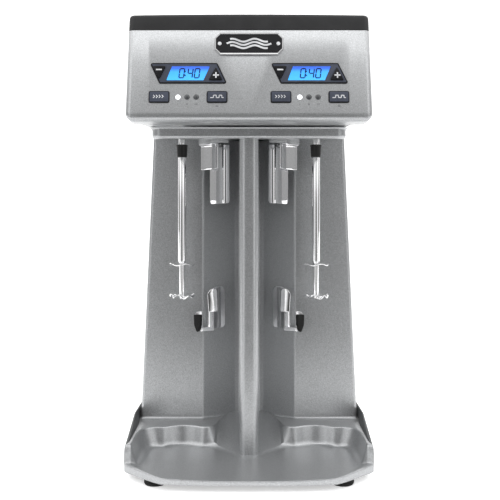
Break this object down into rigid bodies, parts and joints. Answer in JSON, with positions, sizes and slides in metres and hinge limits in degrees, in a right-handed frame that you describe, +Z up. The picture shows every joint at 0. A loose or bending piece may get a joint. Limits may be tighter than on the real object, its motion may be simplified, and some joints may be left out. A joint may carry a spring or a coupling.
{
  "type": "milkshake mixer",
  "caption": "Counter-top milkshake mixer with twin spindles, timer panel, cup guides and cup rests on a cast column and tray base.",
  "frame": {"origin": "middle of the footprint, on the counter the feet stand on", "axes": "+Z up along the column, -Y towards the front panel, +X to the right seen from the front"},
  "size_m": [0.31, 0.24, 0.563],
  "materials": {
    "silver_paint": "silver grey metallic paint over cast aluminium, satin",
    "black_cover": "black moulded plastic, satin",
    "plate_steel": "plain sheet steel",
    "foot_rubber": "black moulded rubber, matte",
    "nameplate_chrome": "bright plate with a black field, no lettering",
    "circuit_board": "green coated glass-fibre board",
    "slate_plastic": "slate grey membrane plastic, satin",
    "display_blue": "blue backlit liquid crystal window",
    "lamp_lit": "clear lamp lens, lit white",
    "lamp_off": "dark lamp lens, unlit",
    "motor_steel": "machined and pressed steel",
    "bracket_chrome": "chromed pressed steel, polished",
    "spindle_chrome": "polished stainless steel",
    "switch_black": "black switch body",
    "bumper_rubber": "black rubber bumper",
    "collar_rubber": "black rubber collar, satin",
    "key_black": "black key with a pale mark"
  },
  "bodies": {
    "root": {"base_tray": "silver_paint", "base_plate": "plate_steel", "foot_front_left": "foot_rubber", "foot_rear_left": "foot_rubber", "foot_front_right": "foot_rubber", "foot_rear_right": "foot_rubber", "column_housing": "silver_paint", "rear_cover": "black_cover", "cord_gland": "black_cover", "head_housing": "silver_paint", "top_cover": "black_cover", "spindle_boss": "silver_paint", "nameplate": "nameplate_chrome", "control_board": "circuit_board", "display_bezel_left": "slate_plastic", "display_window_left": "display_blue", "lamp_left_1": "lamp_lit", "lamp_left_2": "lamp_off", "lamp_left_3": "lamp_off", "motor_case_left": "motor_steel", "lower_bearing_left": "motor_steel", "upper_bearing_left": "motor_steel", "cup_guide_left": "bracket_chrome", "lever_pin_left": "motor_steel", "start_switch_left": "switch_black", "cup_rest_left": "bracket_chrome", "rest_bumper_left": "bumper_rubber", "display_bezel_right": "slate_plastic", "display_window_right": "display_blue", "lamp_right_1": "lamp_lit", "lamp_right_2": "lamp_off", "lamp_right_3": "lamp_off", "motor_case_right": "motor_steel", "lower_bearing_right": "motor_steel", "upper_bearing_right": "motor_steel", "cup_guide_right": "bracket_chrome", "lever_pin_right": "motor_steel", "start_switch_right": "switch_black", "cup_rest_right": "bracket_chrome", "rest_bumper_right": "bumper_rubber"},
    "spindle_left": {"motor_rotor_left": "motor_steel", "spindle_shaft_left": "spindle_chrome", "spindle_collar_left": "collar_rubber", "upper_agitator_left": "spindle_chrome", "lower_agitator_left": "spindle_chrome"},
    "minus_key_left": {"minus_button_left": "key_black"},
    "plus_key_left": {"plus_button_left": "key_black"},
    "speed_key_left": {"speed_button_left": "slate_plastic"},
    "pulse_key_left": {"pulse_button_left": "slate_plastic"},
    "lever_left": {"start_lever_left": "bracket_chrome"},
    "spindle_right": {"motor_rotor_right": "motor_steel", "spindle_shaft_right": "spindle_chrome", "spindle_collar_right": "collar_rubber", "upper_agitator_right": "spindle_chrome", "lower_agitator_right": "spindle_chrome"},
    "minus_key_right": {"minus_button_right": "key_black"},
    "plus_key_right": {"plus_button_right": "key_black"},
    "speed_key_right": {"speed_button_right": "slate_plastic"},
    "pulse_key_right": {"pulse_button_right": "slate_plastic"},
    "lever_right": {"start_lever_right": "bracket_chrome"}
  },
  "joints": [
    {"name": "spindle_left_spin", "type": "hinge", "parent": "root", "child": "spindle_left", "pos_m": [-0.087, -0.003, 0.3], "axis": [0, 0, 1], "continuous": true},
    {"name": "minus_left_press", "type": "slide", "parent": "root", "child": "minus_key_left", "axis": [0, 0.9841, -0.1776], "range_m": [0, 0.001], "stiffness_N_per_m": 900, "springref_m": -0.0012},
    {"name": "plus_left_press", "type": "slide", "parent": "root", "child": "plus_key_left", "axis": [0, 0.9841, -0.1776], "range_m": [0, 0.001], "stiffness_N_per_m": 900, "springref_m": -0.0012},
    {"name": "speed_left_press", "type": "slide", "parent": "root", "child": "speed_key_left", "axis": [0, 0.9841, -0.1776], "range_m": [0, 0.001], "stiffness_N_per_m": 900, "springref_m": -0.0012},
    {"name": "pulse_left_press", "type": "slide", "parent": "root", "child": "pulse_key_left", "axis": [0, 0.9841, -0.1776], "range_m": [0, 0.001], "stiffness_N_per_m": 900, "springref_m": -0.0012},
    {"name": "lever_left_swing", "type": "hinge", "parent": "root", "child": "lever_left", "pos_m": [-0.04093, 0.02749, 0.421], "axis": [0.5519, -0.8339, 0], "range_deg": [0, 4], "stiffness_Nm_per_rad": 0.6, "springref_deg": -3.44},
    {"name": "spindle_right_spin", "type": "hinge", "parent": "root", "child": "spindle_right", "pos_m": [0.087, -0.003, 0.3], "axis": [0, 0, 1], "continuous": true},
    {"name": "minus_right_press", "type": "slide", "parent": "root", "child": "minus_key_right", "axis": [0, 0.9841, -0.1776], "range_m": [0, 0.001], "stiffness_N_per_m": 900, "springref_m": -0.0012},
    {"name": "plus_right_press", "type": "slide", "parent": "root", "child": "plus_key_right", "axis": [0, 0.9841, -0.1776], "range_m": [0, 0.001], "stiffness_N_per_m": 900, "springref_m": -0.0012},
    {"name": "speed_right_press", "type": "slide", "parent": "root", "child": "speed_key_right", "axis": [0, 0.9841, -0.1776], "range_m": [0, 0.001], "stiffness_N_per_m": 900, "springref_m": -0.0012},
    {"name": "pulse_right_press", "type": "slide", "parent": "root", "child": "pulse_key_right", "axis": [0, 0.9841, -0.1776], "range_m": [0, 0.001], "stiffness_N_per_m": 900, "springref_m": -0.0012},
    {"name": "lever_right_swing", "type": "hinge", "parent": "root", "child": "lever_right", "pos_m": [0.04093, 0.02749, 0.421], "axis": [0.5519, 0.8339, 0], "range_deg": [0, 4], "stiffness_Nm_per_rad": 0.6, "springref_deg": -3.44}
  ]
}
